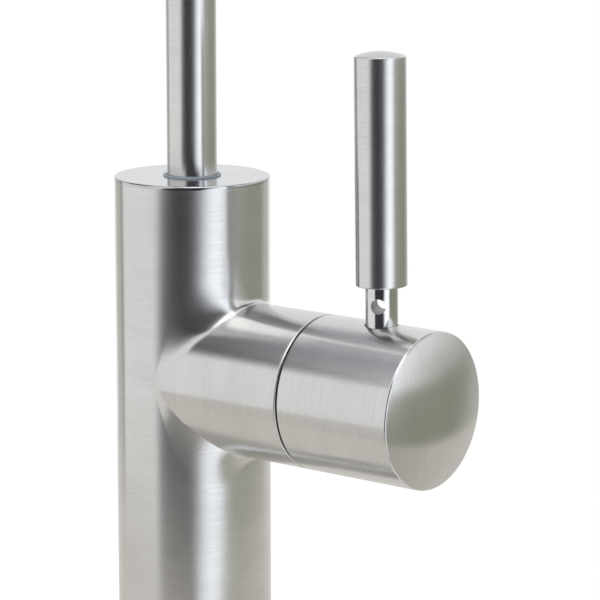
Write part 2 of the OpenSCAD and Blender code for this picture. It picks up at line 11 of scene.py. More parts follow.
import bmesh
import bpy
import numpy as np
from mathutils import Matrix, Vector


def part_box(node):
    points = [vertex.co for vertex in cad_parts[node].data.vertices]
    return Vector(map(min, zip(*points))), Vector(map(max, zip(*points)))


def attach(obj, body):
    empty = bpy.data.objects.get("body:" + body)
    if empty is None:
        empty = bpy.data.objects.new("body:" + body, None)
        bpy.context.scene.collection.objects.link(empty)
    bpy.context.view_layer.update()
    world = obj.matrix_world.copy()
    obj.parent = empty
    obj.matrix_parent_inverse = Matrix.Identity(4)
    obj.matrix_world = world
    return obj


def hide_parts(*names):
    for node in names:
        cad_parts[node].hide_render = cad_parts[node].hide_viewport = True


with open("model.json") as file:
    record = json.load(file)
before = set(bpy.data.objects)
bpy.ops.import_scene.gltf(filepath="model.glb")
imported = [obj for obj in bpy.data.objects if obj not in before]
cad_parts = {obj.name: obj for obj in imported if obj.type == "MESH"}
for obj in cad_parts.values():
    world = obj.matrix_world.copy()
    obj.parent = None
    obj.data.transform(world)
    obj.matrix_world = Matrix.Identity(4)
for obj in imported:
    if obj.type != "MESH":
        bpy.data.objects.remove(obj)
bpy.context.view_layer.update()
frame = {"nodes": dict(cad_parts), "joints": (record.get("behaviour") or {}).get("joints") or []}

print("CAD pieces:", len(frame["nodes"]))

# %% [markdown]
# ## Sizes from the frame
# A dressed piece has to lie on its CAD piece. So the main radii and heights are read from the
# CAD boxes, and what a box can't tell, such as a bore or a rounded edge, gets a value where it
# is used. Typing every size again would work too, but the two models could drift apart.

# %% Read the main sizes, in millimetres
MM = 0.001
TURN = 2 * math.pi


def box_mm(node):
    """Lowest and highest corner of a CAD piece, in millimetres."""
    low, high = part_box(node)
    return np.array(low) / MM, np.array(high) / MM


body_low, body_high = box_mm("body_shell")
hub_low, hub_high = box_mm("hub")
tube_low, tube_high = box_mm("spout_tube")
hinge = next(j for j in frame["joints"] if j["name"] == "handle_turn")

body_r = body_high[1]
body_foot = body_low[2]
body_top = body_high[2]
branch_end = body_high[0]
branch_r = hub_high[1]
lever_x = hinge["pos_m"][0] / MM
branch_z = hinge["pos_m"][2] / MM
tube_r = tube_high[0]
reach = -tube_low[1] - tube_r
print(f"body radius {body_r:.2f}, top {body_top:.1f}, branch radius {branch_r:.2f}")
print(f"branch axis at {branch_z:.1f}, lever axis at {lever_x:.1f}, spout reach {reach:.1f}")

# %% [markdown]
# ## Camera
# The picture is taken with a long lens from the front right, a little above the valve. The
# camera stands at a measured point, and its turn comes from two angles, so that it has no roll.

# %% Make the camera
CAMERA_AT = (352.39, -413.54, 198.80)
CAMERA_AZIMUTH = 38.2845
CAMERA_ELEVATION = 11.1383
CAMERA_LENS = 174.12
SENSOR = 36.0
CLIP_START = 0.01
CLIP_END = 100.0


def stacked(*values):
    """Stretches arrays and numbers to one shape and stacks them as coordinates."""
    return np.stack(np.broadcast_arrays(*values), -1)


def direction(azimuth, elevation):
    """Unit vector towards an azimuth (0 is the front, counted to the right) and elevation."""
    a, e = np.radians(azimuth), np.radians(elevation)
    return stacked(np.sin(a) * np.cos(e), -np.cos(a) * np.cos(e), np.sin(e))


scene = bpy.context.scene


def add_object(name, data):
    """Puts a mesh, a lamp or a camera into the scene."""
    item = bpy.data.objects.new(name, data)
    scene.collection.objects.link(item)
    return item


lens = bpy.data.cameras.new("photo_camera")
lens.lens = CAMERA_LENS
lens.sensor_width = SENSOR
lens.clip_start = CLIP_START
lens.clip_end = CLIP_END
camera = add_object("photo_camera", lens)
scene.camera = camera
camera.location = Vector(CAMERA_AT) * MM
camera.rotation_mode = "QUATERNION"
looking = -Vector(direction(CAMERA_AZIMUTH, CAMERA_ELEVATION))
camera.rotation_quaternion = looking.to_track_quat("-Z", "Y")
print("camera at", tuple(round(x, 3) for x in camera.location))

# %% [markdown]
# ## A helper for node networks
# Every look in Blender is a network of nodes: each is made, its settings are chosen, and its
# inputs get a value or a link. The shader editor does this by hand. Here one function does it
# in a line, which can be read and repeated.

# %% Make and wire nodes
def connect(tree, node, inputs):
    """Fills inputs by name or number: another node's output is linked, anything else is set."""
    for key, value in inputs.items():
        if isinstance(value, bpy.types.NodeSocket):
            tree.links.new(value, node.inputs[key])
        else:
            node.inputs[key].default_value = value


def add_node(tree, kind, inputs=(), **settings):
    """Makes one shader node with its settings and inputs."""
    node = tree.nodes.new("ShaderNode" + kind)
    for key, value in settings.items():
        setattr(node, key, value)
    connect(tree, node, dict(inputs))
    return node


def calculated(tree, operation, first, second):
    """Result of a Math node on two values, each an output or a number."""
    return add_node(tree, "Math", {0: first, 1: second}, operation=operation).outputs[0]


def ranged(tree, value, low, high, source):
    """Value mapped from the range source to the range low to high."""
    ends = {"From Min": source[0], "From Max": source[1], "To Min": low, "To Max": high}
    return add_node(tree, "MapRange", {"Value": value, **ends}).outputs["Result"]


def empty_material(name):
    """A material without nodes, from which no light is sampled; returns it and its tree."""
    material = bpy.data.materials.new(name)
    material.use_nodes = True
    material.cycles.emission_sampling = "NONE"
    material.node_tree.nodes.clear()
    return material, material.node_tree


def mix_to_surface(tree, share, first, second):
    """Sends two shaders to the surface, the first where share is 0 and the second where it is 1."""
    mix = add_node(tree, "MixShader", {"Fac": share, 1: first.outputs[0], 2: second.outputs[0]})
    add_node(tree, "OutputMaterial", {"Surface": mix.outputs[0]})


# %% [markdown]
# ## Studio
# Bare steel has almost no colour of its own: it shows what stands round it. So its look is
# built with cards, a black flag for a dark stripe and a softbox for a bright one. A painted sky
# could do that, but cards can be moved one by one. They are seen by glossy rays alone, so they
# change neither the backdrop nor the light on rubber and plastic. First come a white world, a
# pale floor and one soft lamp for all that isn't metal.

# %% Background, floor and key light
AMBIENT = 0.72
FLOOR_Z = -96.0
FLOOR_SIZE = 16.0
FLOOR_PAINT = (0.85, 0.85, 0.85, 1)
FLOOR_GLOW = 0.8
FLOOR_LIGHT = 1.1
KEY_POWER = 9.0
KEY_SIZE = 1.4
KEY_AT = (-0.7, -1.2, 1.5)

scene.view_settings.view_transform = "Standard"


def seen_directly(tree):
    """1 for camera, glossy and transmission rays, which see the white backdrop, and 0 for others."""
    path = add_node(tree, "LightPath")
    seen = path.outputs["Is Camera Ray"]
    for kind in ("Is Glossy Ray", "Is Transmission Ray"):
        seen = calculated(tree, "MAXIMUM", seen, path.outputs[kind])
    return seen


def make_world():
    """White to the eye and in reflections, a little dimmer as the light that it gives."""
    world = bpy.data.worlds.new("white_studio")
    world.use_nodes = True
    world.cycles.sampling_method = "NONE"
    tree = world.node_tree
    level = ranged(tree, seen_directly(tree), AMBIENT, 1.0, (0.0, 1.0))
    connect(tree, tree.nodes["Background"], {"Color": (1, 1, 1, 1), "Strength": level})
    scene.world = world


def make_floor():
    """Pale floor: part of it glows for the eye, and the rest takes the object's shadow."""
    half = FLOOR_SIZE / 2
    mesh = bpy.data.meshes.new("floor")
    corners = [(-half, -half), (half, -half), (half, half), (-half, half)]
    mesh.from_pydata([(x, y, FLOOR_Z * MM) for x, y in corners], [], [(0, 1, 2, 3)])
    floor = add_object("floor", mesh)
    material, tree = empty_material("pale_floor")
    paint = add_node(tree, "BsdfDiffuse", {"Color": FLOOR_PAINT})
    glow = add_node(tree, "Emission", {"Strength": FLOOR_LIGHT})
    mix_to_surface(tree, calculated(tree, "MULTIPLY", seen_directly(tree), FLOOR_GLOW), paint, glow)
    mesh.materials.append(material)
    floor.visible_glossy = False


def make_key():
    """One large soft lamp, which the steel doesn't mirror."""
    lamp = bpy.data.lights.new("soft_key", "AREA")
    lamp.energy = KEY_POWER
    lamp.size = KEY_SIZE
    key = add_object("soft_key", lamp)
    key.location = KEY_AT
    key.rotation_euler = (-Vector(KEY_AT)).to_track_quat("-Z", "Y").to_euler()
    key.visible_glossy = False


make_world()
make_floor()
make_key()
print("studio: white backdrop, floor and one soft key")

# %% [markdown]
# ## Cards for the metal
# Most cards are patches of a big sphere round the faucet. Their azimuths are counted from the
# camera's own, to the right, so an upright round part mirrors a card at half its azimuth. A
# card's rim fades out, as a real flag out of focus does, and a card may lean, which slants its
# stripe. Body and branch would mirror far cards alike, so two cards stand close: a dark flag
# high on the left, and a ring at worktop height.

# %% Make a card
CARD_CENTRE = np.array([0.0, 0.0, 90.0])
CARD_STEPS = 40
LEAN_LEVEL = -10.0
LEAN_LIMIT = 22.0


def smooth(x):
    """Soft step: 3x^2 - 2x^3 between 0 and 1."""
    x = np.clip(x, 0, 1)
    return x * x * (3 - 2 * x)


def faded(across, up, sides, ends, soft):
    """1 inside a card and 0 at its rim. soft gives the width of the fade on the left, on the
    right, below and above, in the units of across and up."""
    fade = smooth((across - sides[0]) / soft[0]) * smooth((sides[1] - across) / soft[1])
    return fade * smooth((up - ends[0]) / soft[2]) * smooth((ends[1] - up) / soft[3])


def grid_faces(rows, cols):
    """Corner numbers of the faces between a grid's points, four a face, by row and column."""
    index = np.arange(rows * cols).reshape(rows, cols)
    return np.stack([index[:-1, :-1], index[:-1, 1:], index[1:, 1:], index[1:, :-1]], -1)


def glow_material(name, strength, tint):
    """Plain light of one tint, as strong as the card's fade says, and clear where it is 0."""
    material, tree = empty_material(name)
    clear = add_node(tree, "BsdfTransparent")
    glow = add_node(tree, "Emission", {"Color": (*tint, 1), "Strength": strength})
    fade = add_node(tree, "Attribute", attribute_name="fade")
    mix_to_surface(tree, fade.outputs["Fac"], clear, glow)
    return material


def stage_card(name, points, fade, strength, tint):
    """Makes a card's mesh from a grid of points in mm, for glossy rays alone."""
    faces = grid_faces(*fade.shape).reshape(-1, 4)
    mesh = bpy.data.meshes.new(name)
    mesh.from_pydata((points.reshape(-1, 3) * MM).tolist(), [], faces.tolist())
    layer = mesh.attributes.new("fade", "FLOAT", "POINT")
    layer.data.foreach_set("value", fade.ravel().astype(np.float32))
    mesh.materials.append(glow_material(name, strength, tint))
    item = add_object(name, mesh)
    for kind in ("camera", "diffuse", "transmission", "shadow", "volume_scatter"):
        setattr(item, "visible_" + kind, False)


def card(name, azimuths, elevations, strength, tint, soft, radius, lean=0.0):
    """Sphere patch: point = centre + radius * direction(azimuth, elevation), in degrees. lean
    turns it to the right by so many degrees for each degree above LEAN_LEVEL, up to a limit."""
    across, up = np.meshgrid(np.linspace(*azimuths, CARD_STEPS),
                             np.linspace(*elevations, CARD_STEPS))
    turn = lean * np.clip(up - LEAN_LEVEL, -LEAN_LIMIT, LEAN_LIMIT)
    points = CARD_CENTRE + radius * direction(across + turn + CAMERA_AZIMUTH, up)
    stage_card(name, points, faded(across, up, azimuths, elevations, soft), strength, tint)


def high_flag(name, xs, ys, z, strength, tint, soft):
    """Small level card close to the faucet: point = (x, y, z), in mm."""
    x, y = np.meshgrid(np.linspace(*xs, CARD_STEPS), np.linspace(*ys, CARD_STEPS))
    stage_card(name, stacked(x, y, z), faded(x, y, xs, ys, soft), strength, tint)


# %% The worktop's ring
WORKTOP_HOLE = 19.5
WORKTOP_AZIMUTHS = (-180, -60, -48, -8, 8, 40, 62, 80, 97, 145, 180)
WORKTOP_REACH = (300, 240, 240, 240, 240, 240, 245, 225, 236, 300, 300)
WORKTOP_NEAR = (1.0, 1.0, 1.1, 1.0, 0.15, 0.15, 0.6, 0.8, 0.9, 1.0, 1.0)
WORKTOP_FAR = (1.0, 1.0, 0.45, 0.4, 0.3, 0.3, 0.5, 0.65, 0.8, 0.9, 1.0)
NEAR_ENDS = 85.0
NEAR_FADES = 50.0
WORKTOP_SOFT = 30.0
WORKTOP_STEPS = 120


def worktop_card(strength, tint):
    """Warm ring round the body's foot, which the lower steel mirrors: point = r direction(a, 0).
    Its reach and its strength near and far off are given at some azimuths from the camera's, and
    run straight between them."""
    azimuth = np.linspace(-180, 180, WORKTOP_STEPS + 1)[:, None]
    outer, near, far = [np.interp(azimuth, WORKTOP_AZIMUTHS, values)
                        for values in (WORKTOP_REACH, WORKTOP_NEAR, WORKTOP_FAR)]
    r = WORKTOP_HOLE + (outer - WORKTOP_HOLE) * np.linspace(0, 1, CARD_STEPS)
    share = near + (far - near) * smooth((r - NEAR_ENDS) / NEAR_FADES)
    points = r[..., None] * direction(azimuth + CAMERA_AZIMUTH, 0)
    stage_card("worktop_card", points, share * smooth((outer - r) / WORKTOP_SOFT), strength, tint)


# %% [markdown]
# ## The set of cards
# Each card stands for something that the photograph shows on the steel: a stripe, a tint or a
# dark field. Moving cards about by eye would work too, but a stripe's edges can be measured. On
# the upright parts they lie at half the card's azimuths, so most of the places were worked out.

# %% Hang the cards
# A card's line gives azimuths, elevations, strength, tint, fades, radius and, in some, the lean.
card("softbox", (7, 56), (-60, 66), 1.62, (0.955, 0.995, 1.06), (20, 9, 10, 10), 1800, 1.1)
card("skylight", (-36, 62), (36, 88), 2.5, (1.0, 1.0, 1.0), (24, 14, 9, 6), 1750)
card("dark_shelf", (50, 136), (31, 56), 0.05, (1.0, 1.0, 0.95), (12, 16, 5, 5), 1760)
card("dark_strip", (-131, -121), (-40, 30), 0.30, (0.95, 1.0, 1.0), (4, 4, 8, 8), 1900)
card("black_flag", (-51, 30), (-70, 54), 0.055, (1.0, 0.97, 1.12), (6, 7, 8, 8), 2000, 1.1)
card("olive_wall", (43, 136), (-60, 3), 0.35, (1.0, 1.02, 0.82), (6, 14, 8, 6), 2100, 0.5)
card("green_haze", (78, 160), (-60, 13), 0.60, (1.0, 1.02, 0.95), (16, 14, 10, 10), 2150)
card("grey_wall", (-158, -126), (-40, 30), 0.62, (1.0, 1.0, 0.92), (10, 4, 8, 8), 2200)
card("grey_ceiling", (-176, -80), (23, 66), 0.46, (0.95, 0.99, 1.08), (18, 10, 20, 10), 2300)
high_flag("branch_flag", (-200, -42), (-175, 3), 190, 0.05, (0.95, 1.0, 1.15), (20, 25, 80, 24))
worktop_card(0.78, (1.0, 0.965, 0.905))

# %% [markdown]
# ## Finishes
# Every finish is a small node network. On brushed steel, thousands of parallel scratches blur
# a reflection across them and leave it sharp along them, which is what the Anisotropic socket
# does. Each mesh tells it which way they run with its UV map: U follows the scratches and V
# crosses them, in millimetres. The other finishes have no direction and read Object coordinates.

# %% Patterns that the finishes share
NOISE_SPAN = (0.3, 0.7)
ONE_TO_ONE = (1, 1, 1)


def new_finish(name):
    """A new material with a Principled shader; returns material, its tree and the shader."""
    material = bpy.data.materials.new(name)
    material.use_nodes = True
    tree = material.node_tree
    return material, tree, tree.nodes["Principled BSDF"]


def coordinates(tree, output, scale=ONE_TO_ONE):
    """Texture Coordinate's output stretched by scale, as a vector."""
    source = add_node(tree, "TexCoord").outputs[output]
    return add_node(tree, "Mapping", {"Vector": source, "Scale": scale}).outputs["Vector"]


def noise(tree, vector, scale, detail, rough):
    """Value of a noise texture, which lies about between the ends of NOISE_SPAN."""
    inputs = {"Vector": vector, "Scale": scale, "Detail": detail, "Roughness": rough}
    return add_node(tree, "TexNoise", inputs).outputs["Fac"]


def blend(tree, first, second, share):
    """share * first + (1 - share) * second."""
    return calculated(tree, "ADD", calculated(tree, "MULTIPLY", first, share),
                      calculated(tree, "MULTIPLY", second, 1 - share))


def shade(tree, factor, dark, light):
    """Colour between dark and light by a noise."""
    node = add_node(tree, "ValToRGB", {"Fac": factor})
    for stop, position, colour in zip(node.color_ramp.elements, NOISE_SPAN, (dark, light)):
        stop.position = position
        stop.color = (*colour, 1)
    return node.outputs["Color"]


def bump(tree, height, distance):
    """Normal from a height; distance is in metres."""
    inputs = {"Height": height, "Distance": distance, "Strength": 1.0}
    return add_node(tree, "Bump", inputs).outputs["Normal"]


# %% [markdown]
# ## Brushed steel
# A belt leaves fine hairlines with broader ones between them. A picture of them would repeat.
# Stretched noise doesn't: it changes slowly along U and 20 times a millimetre across it.

# %% The brushed finish
HAIRLINE = 20.0
BROADER = (5, 6)
CLOUD = (0.05, 0.16, 1)
FINE_NOISE = (1.0, 3.0, 0.6)
SOFT_NOISE = (1.0, 2.0, 0.5)
FINE_SHARE = 0.8
LINE_SHARE = 0.75
STEEL_DARK = (0.54, 0.537, 0.53)
STEEL_LIGHT = (0.70, 0.697, 0.69)
SCRATCH_DEPTH = 0.000007
ALONG_U = 0.25


def brushed_steel(name, along, roughness, anisotropic):
    """Hairlines of two sizes on the UV map. along gives how often a hairline changes in a
    millimetre of its length. They shade the metal, its roughness and, a little, its height."""
    material, tree, shader = new_finish(name)
    fine = noise(tree, coordinates(tree, "UV", (along, HAIRLINE, 1)), *FINE_NOISE)
    stretched = coordinates(tree, "UV", (along / BROADER[0], HAIRLINE / BROADER[1], 1))
    lines = blend(tree, fine, noise(tree, stretched, *SOFT_NOISE), FINE_SHARE)
    cloud = noise(tree, coordinates(tree, "UV", CLOUD), *SOFT_NOISE)
    tone = blend(tree, lines, cloud, LINE_SHARE)
    tangent = add_node(tree, "Tangent", direction_type="UV_MAP", uv_map="UVMap")
    connect(tree, shader, {
        "Base Color": shade(tree, tone, STEEL_DARK, STEEL_LIGHT),
        "Roughness": ranged(tree, lines, roughness[1], roughness[0], NOISE_SPAN),
        "Normal": bump(tree, lines, SCRATCH_DEPTH), "Metallic": 1.0, "Anisotropic": anisotropic,
        "Anisotropic Rotation": ALONG_U, "Tangent": tangent.outputs["Tangent"]})
    return material


BRUSHED = brushed_steel("brushed_steel", 0.2, (0.17, 0.23), 0.86)
BRUSHED_BAR = brushed_steel("brushed_bar", 0.3, (0.16, 0.22), 0.80)
print("brushed:", [m.name for m in (BRUSHED, BRUSHED_BAR)])

# %% [markdown]
# ## Finishes without a direction
# Polished metal, rubber, plastic and ceramic look alike from all sides. A flat colour would look
# like paint, so a cloudy stain changes the colour and a fine grain breaks the reflections up. The
# gloss of a metal follows its tarnish, and that of a moulded or ground piece its skin.

# %% Plain metals, rubber, plastic and ceramic
METAL = {"stain": (160.0, 4.0, 0.55), "grain": (900.0, 2.0, 0.6), "depth": 0.000004}
MOULDED = {"stain": (220.0, 4.0, 0.6), "grain": (700.0, 3.0, 0.6), "depth": 0.00002}


def even_finish(name, kind, dark, light, roughness, specular=0.5):
    """Mottled colour, uneven gloss and a fine relief, the same in all directions."""
    material, tree, shader = new_finish(name)
    place_at = coordinates(tree, "Object")
    stain = noise(tree, place_at, *kind["stain"])
    grain = noise(tree, place_at, *kind["grain"])
    gloss = stain if kind is METAL else grain
    connect(tree, shader, {
        "Base Color": shade(tree, stain, dark, light),
        "Roughness": ranged(tree, gloss, *roughness, NOISE_SPAN),
        "Normal": bump(tree, grain, kind["depth"]),
        "Metallic": float(kind is METAL), "Specular IOR Level": specular})
    return material


# Faced steel is turned smooth, and its colour is darker and bluer than the other steel. That colour
# is a painted reflection tone on the body's top and rim, the grub screw's hole and the lever's cap.
FACED_PAINTED_REFLECTION = even_finish("faced_steel_painted_reflection", METAL, (0.49, 0.50, 0.515), (0.55, 0.56, 0.575), (0.10, 0.16))
POLISHED = even_finish("polished_steel", METAL, (0.60, 0.60, 0.60), (0.68, 0.68, 0.68), (0.07, 0.12))
# The drilled steel lines the stud's cross hole. Its rough gloss is the drilled bore's, and its dark
# colour is painted shade inside the hole.
BORE_STEEL_PAINTED_SHADE = even_finish("drilled_steel_painted_shade", METAL, (0.20, 0.205, 0.21), (0.30, 0.305, 0.31), (0.32, 0.44))
BRASS = even_finish("brass", METAL, (0.62, 0.44, 0.17), (0.80, 0.60, 0.27), (0.22, 0.34))
COPPER = even_finish("copper", METAL, (0.64, 0.32, 0.20), (0.80, 0.45, 0.31), (0.20, 0.32))
DARK_STEEL = even_finish("dark_steel", METAL, (0.07, 0.07, 0.075), (0.12, 0.12, 0.125), (0.35, 0.5))
RUBBER = even_finish("black_rubber", MOULDED, (0.012, 0.012, 0.013), (0.028, 0.028, 0.03),
                     (0.55, 0.75), 0.3)
BLUE_GREY = even_finish("blue_grey_plastic", MOULDED, (0.25, 0.30, 0.36), (0.34, 0.40, 0.46),
                        (0.35, 0.5))
WHITE = even_finish("white_plastic", MOULDED, (0.62, 0.62, 0.60), (0.76, 0.76, 0.74), (0.3, 0.45))
CERAMIC = even_finish("ceramic", MOULDED, (0.74, 0.72, 0.66), (0.86, 0.84, 0.79), (0.12, 0.2), 0.6)
print("steel, brass, copper, rubber, two plastics and ceramic")

# %% [markdown]
# ## From grids to meshes
# A turned or bent part is a smooth function of two parameters, so numpy can work out a whole
# grid of its points at once. A piece is several such grids that share their rims. Their double
# points are merged, the faces turned outwards, and the shading stays crisp only where two faces
# meet at a clear angle. Subdivided cylinders would do for a rough model, but the weld between
# body and branch needs grids that meet point for point.

# %% Patches and pieces
MERGE = 0.000002
CRISP = 30


def patch(points, uv, finish=0, keep=None):
    """A grid of points (rows, columns, 3) in mm with its UV. keep drops some of its faces."""
    return {"points": points, "uv": uv, "finish": finish, "keep": keep}


def patch_faces(item, first):
    """Corner numbers of a patch's faces, four a face, counted from first."""
    quads = first + grid_faces(*item["points"].shape[:2])
    return quads.reshape(-1, 4) if item["keep"] is None else quads[item["keep"]]


def merge_points(mesh, turn_out):
    """Merges double points, turns the faces outwards if asked to, and counts the open edges."""
    work = bmesh.new()
    work.from_mesh(mesh)
    bmesh.ops.remove_doubles(work, verts=work.verts, dist=MERGE)
    if turn_out:
        bmesh.ops.recalc_face_normals(work, faces=work.faces)
        if work.calc_volume(signed=True) < 0:
            bmesh.ops.reverse_faces(work, faces=work.faces)
    open_edges = sum(1 for edge in work.edges if len(edge.link_faces) != 2)
    work.to_mesh(mesh)
    work.free()
    return open_edges


def finish_piece(name, mesh, body, node, crisp=CRISP):
    """Shades a mesh smoothly between its edges and makes it a piece that rides on a body and
    stands for a CAD node."""
    mesh.shade_smooth()
    mesh.set_sharp_from_angle(angle=math.radians(crisp))
    piece = add_object(name, mesh)
    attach(piece, body)
    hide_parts(node)


def make_piece(name, patches, finishes, body, node, crisp=CRISP):
    """Joins patches into one mesh and finishes it. A patch tells which finish its faces take."""
    sizes = [p["points"].shape[0] * p["points"].shape[1] for p in patches]
    firsts = np.concatenate([[0], np.cumsum(sizes)[:-1]])
    faces = [patch_faces(p, first) for p, first in zip(patches, firsts)]
    points = np.concatenate([p["points"].reshape(-1, 3) for p in patches]) * MM
    uvs = np.concatenate([p["uv"].reshape(-1, 2) for p in patches])
    marks = np.concatenate([np.full(len(f), p["finish"]) for p, f in zip(patches, faces)])
    faces = np.concatenate(faces)
    mesh = bpy.data.meshes.new(name)
    mesh.from_pydata(points.tolist(), [], faces.tolist())
    layer = mesh.uv_layers.new(name="UVMap")
    layer.data.foreach_set("uv", uvs[faces.ravel()].astype(np.float32).ravel())
    for finish in finishes:
        mesh.materials.append(finish)
    mesh.polygons.foreach_set("material_index", marks.astype(np.int32))
    open_edges = merge_points(mesh, True)
    finish_piece(name, mesh, body, node, crisp)
    print(f"{name}: {len(mesh.polygons)} faces, {open_edges} open edges")


# %% [markdown]
# ## Turned parts
# Most of the faucet comes off a lathe. A lathe part is a profile of radius and height carried
# round an axis, which Spin would do too, but without a UV map. A corner of the profile may be
# rounded, because the thin highlight on an edge is what makes metal look machined.

# %% Profiles and turning
SEAM = math.radians(128)
ROUND_STEPS = 144
ROUND = np.linspace(SEAM, SEAM + TURN, ROUND_STEPS + 1)
EDGE_STEPS = 5


def unit(vector):
    """The vector at length 1."""
    return vector / np.linalg.norm(vector)


def profile(*corners, closed=False):
    """Corners are (radius, height) or (radius, height, rounding). A rounded corner P between the
    points A and B is the parabola (1-s)^2 A + 2s(1-s) P + s^2 B, tangent to both sides, with one
    more point beyond each end that keeps the shading of the flats flat."""
    spots = np.array([c[:2] for c in corners], float)
    rows = []
    for k, corner in enumerate(corners):
        size = corner[2] if len(corner) > 2 else 0
        if size == 0:
            rows.append(spots[k:k + 1])
            continue
        back = unit(spots[k - 1] - spots[k])
        on = unit(spots[(k + 1) % len(spots)] - spots[k])
        s = np.linspace(0, 1, EDGE_STEPS)[:, None]
        start, end = spots[k] + size * back, spots[k] + size * on
        arc = (1 - s) ** 2 * start + 2 * s * (1 - s) * spots[k] + s ** 2 * end
        rows += [[start + size * back], arc, [end + size * on]]
    rows = np.vstack(rows)
    return np.vstack([rows, rows[:1]]) if closed else rows


def upright(x=0.0, y=0.0):
    """Axes of a vertical part: its X, Y and Z direction and its origin, one in each row."""
    return np.array([[1, 0, 0], [0, 1, 0], [0, 0, 1], [x, y, 0]], float)


LEVER_TILT = math.radians(0.9)
UPRIGHT = upright()
SIDEWAYS = np.array([[0, 1, 0], [0, 0, 1], [1, 0, 0], [0, 0, branch_z]], float)
LEANING = np.array([
    [math.cos(LEVER_TILT), 0, math.sin(LEVER_TILT)], [0, 1, 0],
    [-math.sin(LEVER_TILT), 0, math.cos(LEVER_TILT)], [lever_x, 0, branch_z]])


def place(local, axes):
    """Local points to the faucet's frame: x X + y Y + z Z + origin."""
    return local @ axes[:3] + axes[3]


def round_points(radius, angle, height):
    """Points at radius and angle round the local Z axis."""
    return stacked(radius * np.cos(angle), radius * np.sin(angle), height)


def lengths(rows):
    """Distance along a polyline to each of its points."""
    steps = np.linalg.norm(np.diff(rows, axis=0), axis=1)
    return np.concatenate([[0], np.cumsum(steps)])


def turned(rows, axes, columns=ROUND, finish=0, straight=False):
    """Carries a profile round the axis: point = (r cos a, r sin a, h). U is r times a, so the
    scratches run round the part; with straight they run across its face instead."""
    local = round_points(rows[:, :1], columns, rows[:, 1:])
    if straight:
        uv = local[..., [1, 0]]
    else:
        uv = stacked(np.maximum(rows[:, :1], 1) * columns, lengths(rows)[:, None])
    return patch(place(local, axes), uv, finish)


print("columns round a turned part:", ROUND_STEPS)

# %% [markdown]
# ## Round walls with a hole
# The body has a hole for the grub screw at its back, the hub has one for the stud, and the stud
# has one across it. A boolean would cut them, but it leaves slivers that catch the light. Here a
# wall is a grid with one square window left out, and a collar of rings leads from the square to
# the round hole, so the shading stays even up to the rim.

# %% A wall with a pierced window
LOWER_LEFT = math.radians(225)
COLLAR_RINGS = 6


def windowed(low, window, high, steps):
    """Grid lines from low to high, with so many steps before, in and after a window. Returns
    them, and the numbers of the window's first and last line."""
    spans = ((low, window[0]), window, (window[1], high))
    rest = [np.linspace(*span, count + 1)[1:] for span, count in zip(spans, steps)]
    return np.concatenate([[low], *rest]), (steps[0], steps[0] + steps[1])


def frame_points(across, up):
    """The rim of a window as one loop of (across, up), anticlockwise from its lower left."""
    return np.concatenate([stacked(across[:-1], up[0]), stacked(across[-1], up[:-1]),
                           stacked(across[:0:-1], up[-1]), stacked(across[0], up[::-1])])


def pierced_wall(radius, columns, rows, centre, hole_r, lean, axes):
    """Wall with a hole; columns and rows come from windowed. Unrolled, it is a sheet of angle and
    height, and on it the hole's rim is angle = middle + asin(h cos a / R), height = middle +
    h sin a + lean * the wall's bulge. Returns the patches and the rim in the local frame."""
    (angles, (left, right)), (heights, (below, above)) = columns, rows
    keep = np.ones((len(heights) - 1, len(angles) - 1), bool)
    keep[below:above, left:right] = False
    rim = frame_points(angles[left:right + 1], heights[below:above + 1])
    a = LOWER_LEFT + np.linspace(0, TURN, len(rim))
    across, up = hole_r * np.cos(a), hole_r * np.sin(a)
    bulge = np.sqrt(radius ** 2 - across ** 2)
    hole = stacked(centre[0] + np.arcsin(across / radius), centre[1] + up + lean * bulge)
    s = np.linspace(0, 1, COLLAR_RINGS)[:, None, None]
    sheets = (stacked(angles, heights[:, None]), keep), ((1 - s) * rim + s * hole, None)
    parts = [patch(place(round_points(radius, flat[..., 0], flat[..., 1]), axes),
                   flat * [radius, 1], 0, mask) for flat, mask in sheets]
    return parts, round_points(radius, hole[:, 0], hole[:, 1])


# %% [markdown]
# ## Body with its welded branch
# The body and the branch are two tubes that cross, with a dressed weld in the corner. A boolean
# would join them, but its faces there are long and thin, and brushed metal shows that. So the
# corner's line is worked out, and how far the weld runs from it. The body's side, the weld and
# the branch are then three clean grids that share their rims.

# %% Where the weld starts and ends
WELD_UP = 1.35
WELD_UP_FRONT = 8.0
WELD_DOWN_FRONT = 9.0
WELD_ALONG = 1.15
WELD_ALONG_FRONT = 0.8
WELD_CREASE = 0.62
WELD_CREASE_BELOW = 3.2
FRONT_COMES = 0.75
TIP_COMES = 0.5
UP_TURNS_DOWN = 0.25
BODY_EDGE = 0.35
SEAM_EDGE = 0.3
WELD_TURNS = 96
WELD_STEPS = 18

half_turn = np.linspace(0, math.pi, WELD_TURNS + 1)
full_turn = np.linspace(0, TURN, 2 * WELD_TURNS + 1)


def hole_angle(t):
    """Angle round the body where the tubes cross: sin(angle) = r cos(t) / R."""
    return np.arcsin(branch_r / body_r * np.cos(t))


def corner(t):
    """The line where the two tubes cross, seen from the branch's axis."""
    y = branch_r * np.cos(t)
    return stacked(np.sqrt(body_r ** 2 - y ** 2), y, branch_r * np.sin(t))


def front(t):
    """1 on the weld's front, above and below, and 0 at its back and at the tips between them."""
    return smooth(-np.cos(t) / FRONT_COMES) * smooth(np.abs(np.sin(t)) / TIP_COMES)


def reach_up(t):
    """How far the weld runs up the body from the corner, or down it below: the full reach times
    sin t / hypot(sin t, a quarter), which turns up into down without a step."""
    broad = np.where(np.sin(t) < 0, WELD_DOWN_FRONT, WELD_UP_FRONT)
    full = WELD_UP + broad * front(t)
    return full * np.sin(t) / np.hypot(np.sin(t), UP_TURNS_DOWN)


def reach_along(t):
    """How far the weld runs along the branch from the corner."""
    return WELD_ALONG + WELD_ALONG_FRONT * front(t) * np.maximum(np.sin(t), 0)


widest = hole_angle(0)
print(f"the branch takes up {math.degrees(widest):.1f} degrees on either side of the body")

